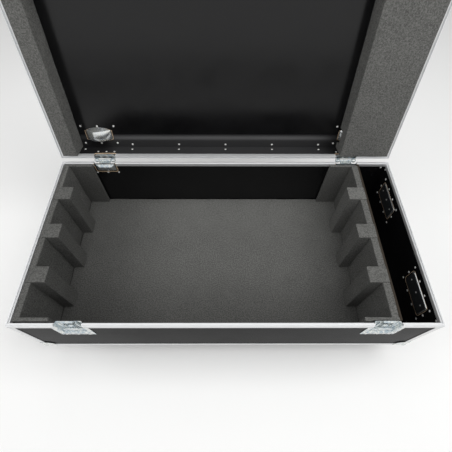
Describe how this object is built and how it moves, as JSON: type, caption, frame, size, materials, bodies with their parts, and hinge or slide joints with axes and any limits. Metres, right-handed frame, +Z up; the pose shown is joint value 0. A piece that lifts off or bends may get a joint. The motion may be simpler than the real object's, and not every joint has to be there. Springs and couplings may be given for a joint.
{
  "type": "lighting flight case",
  "caption": "Long trunk-style flight case on castors: hinged lid, recessed latches and handles, slotted foam fittings for lamps and a bare cable compartment.",
  "frame": {"origin": "on the foam floor, midway between the case's ends and sides", "axes": "+X to the right, towards the cable compartment; +Y from the latches at the front to the hinges at the rear; +Z up"},
  "size_m": [1.203, 0.8304, 0.9504],
  "materials": {
    "black_laminate_plywood": "satin black laminate on birch plywood",
    "anodised_aluminium": "satin anodised",
    "charcoal_foam": "matte closed-cell foam",
    "zinc_plated_steel": "bright zinc plate",
    "grip_rubber": "matte",
    "castor_tyre": "matte"
  },
  "bodies": {
    "base": {"bottom_panel": "black_laminate_plywood", "front_panel": "black_laminate_plywood", "rear_panel": "black_laminate_plywood", "left_end_panel": "black_laminate_plywood", "right_end_panel": "black_laminate_plywood", "base_rim_front": "anodised_aluminium", "base_rim_rear": "anodised_aluminium", "base_rim_left": "anodised_aluminium", "base_rim_right": "anodised_aluminium", "base_edging": "anodised_aluminium", "divider_board": "black_laminate_plywood", "divider_batten": "black_laminate_plywood", "floor_foam": "charcoal_foam", "left_foam": "charcoal_foam", "right_foam": "charcoal_foam", "hinge_left_base_half": "zinc_plated_steel", "hinge_right_base_half": "zinc_plated_steel", "latch_left_dish": "zinc_plated_steel", "latch_right_dish": "zinc_plated_steel", "handle_left_front_dish": "zinc_plated_steel", "handle_left_rear_dish": "zinc_plated_steel", "handle_right_front_dish": "zinc_plated_steel", "handle_right_rear_dish": "zinc_plated_steel", "castor_left_front_bracket": "zinc_plated_steel", "castor_left_rear_bracket": "zinc_plated_steel", "castor_right_front_plate": "zinc_plated_steel", "castor_right_rear_plate": "zinc_plated_steel"},
    "lid": {"lid_top_panel": "black_laminate_plywood", "lid_walls": "black_laminate_plywood", "lid_rim_front": "anodised_aluminium", "lid_rim_rear": "anodised_aluminium", "lid_rim_left": "anodised_aluminium", "lid_rim_right": "anodised_aluminium", "lid_edging": "anodised_aluminium", "lid_left_foam": "charcoal_foam", "lid_right_foam": "charcoal_foam", "hinge_left_lid_half": "zinc_plated_steel", "hinge_right_lid_half": "zinc_plated_steel", "latch_left_keeper": "zinc_plated_steel", "latch_right_keeper": "zinc_plated_steel", "wheel_cup_left_front": "zinc_plated_steel", "wheel_cup_left_rear": "zinc_plated_steel", "wheel_cup_right_front": "zinc_plated_steel", "wheel_cup_right_rear": "zinc_plated_steel"},
    "latch_boss_left": {"latch_left_boss": "zinc_plated_steel"},
    "latch_hook_left": {"latch_left_hook": "zinc_plated_steel"},
    "latch_wing_left": {"latch_left_wing": "zinc_plated_steel"},
    "latch_boss_right": {"latch_right_boss": "zinc_plated_steel"},
    "latch_hook_right": {"latch_right_hook": "zinc_plated_steel"},
    "latch_wing_right": {"latch_right_wing": "zinc_plated_steel"},
    "grip_left_front": {"handle_left_front_grip": "grip_rubber"},
    "grip_left_rear": {"handle_left_rear_grip": "grip_rubber"},
    "grip_right_front": {"handle_right_front_grip": "grip_rubber"},
    "grip_right_rear": {"handle_right_rear_grip": "grip_rubber"},
    "wheel_left_front": {"castor_left_front_wheel": "castor_tyre"},
    "fork_right_front": {"castor_right_front_fork": "zinc_plated_steel"},
    "wheel_right_front": {"castor_right_front_wheel": "castor_tyre"},
    "wheel_left_rear": {"castor_left_rear_wheel": "castor_tyre"},
    "fork_right_rear": {"castor_right_rear_fork": "zinc_plated_steel"},
    "wheel_right_rear": {"castor_right_rear_wheel": "castor_tyre"}
  },
  "joints": [
    {"name": "lid_hinge", "type": "hinge", "parent": "base", "child": "lid", "pos_m": [0, 0.3075, 0.213], "axis": [1, 0, 0], "range_deg": [0, 104]},
    {"name": "latch_left_turn", "type": "hinge", "parent": "base", "child": "latch_boss_left", "pos_m": [-0.431, -0.2962, 0.189], "axis": [0, 1, 0], "range_deg": [0, 180]},
    {"name": "latch_left_draw", "type": "slide", "parent": "base", "child": "latch_hook_left", "axis": [0, 0, -1], "range_m": [0, 0.01]},
    {"name": "latch_left_wing_fold", "type": "hinge", "parent": "latch_boss_left", "child": "latch_wing_left", "pos_m": [-0.431, -0.2983, 0.189], "axis": [-1, 0, 0], "range_deg": [0, 90]},
    {"name": "latch_right_turn", "type": "hinge", "parent": "base", "child": "latch_boss_right", "pos_m": [0.446, -0.2962, 0.189], "axis": [0, 1, 0], "range_deg": [0, 180]},
    {"name": "latch_right_draw", "type": "slide", "parent": "base", "child": "latch_hook_right", "axis": [0, 0, -1], "range_m": [0, 0.01]},
    {"name": "latch_right_wing_fold", "type": "hinge", "parent": "latch_boss_right", "child": "latch_wing_right", "pos_m": [0.446, -0.2983, 0.189], "axis": [-1, 0, 0], "range_deg": [0, 90]},
    {"name": "handle_left_front_swing", "type": "hinge", "parent": "base", "child": "grip_left_front", "pos_m": [-0.596, -0.178, 0.158], "axis": [0, 1, 0], "range_deg": [0, 90], "stiffness_Nm_per_rad": 0.2},
    {"name": "handle_left_rear_swing", "type": "hinge", "parent": "base", "child": "grip_left_rear", "pos_m": [-0.596, 0.178, 0.158], "axis": [0, 1, 0], "range_deg": [0, 90], "stiffness_Nm_per_rad": 0.2},
    {"name": "handle_right_front_swing", "type": "hinge", "parent": "base", "child": "grip_right_front", "pos_m": [0.596, -0.178, 0.158], "axis": [0, -1, 0], "range_deg": [0, 90], "stiffness_Nm_per_rad": 0.2},
    {"name": "handle_right_rear_swing", "type": "hinge", "parent": "base", "child": "grip_right_rear", "pos_m": [0.596, 0.178, 0.158], "axis": [0, -1, 0], "range_deg": [0, 90], "stiffness_Nm_per_rad": 0.2},
    {"name": "castor_left_front_spin", "type": "hinge", "parent": "base", "child": "wheel_left_front", "pos_m": [-0.465, -0.242, -0.098], "axis": [0, 1, 0], "continuous": true},
    {"name": "castor_right_front_swivel", "type": "hinge", "parent": "base", "child": "fork_right_front", "pos_m": [0.433, -0.242, -0.0326], "axis": [0, 0, 1], "continuous": true},
    {"name": "castor_right_front_spin", "type": "hinge", "parent": "fork_right_front", "child": "wheel_right_front", "pos_m": [0.465, -0.242, -0.098], "axis": [0, 1, 0], "continuous": true},
    {"name": "castor_left_rear_spin", "type": "hinge", "parent": "base", "child": "wheel_left_rear", "pos_m": [-0.465, 0.242, -0.098], "axis": [0, 1, 0], "continuous": true},
    {"name": "castor_right_rear_swivel", "type": "hinge", "parent": "base", "child": "fork_right_rear", "pos_m": [0.433, 0.242, -0.0326], "axis": [0, 0, 1], "continuous": true},
    {"name": "castor_right_rear_spin", "type": "hinge", "parent": "fork_right_rear", "child": "wheel_right_rear", "pos_m": [0.465, 0.242, -0.098], "axis": [0, 1, 0], "continuous": true}
  ],
  "couplings": [
    {"joint": "latch_left_draw", "follows": "latch_left_turn", "m_per_rad": 0.00318},
    {"joint": "latch_right_draw", "follows": "latch_right_turn", "m_per_rad": 0.00318}
  ]
}
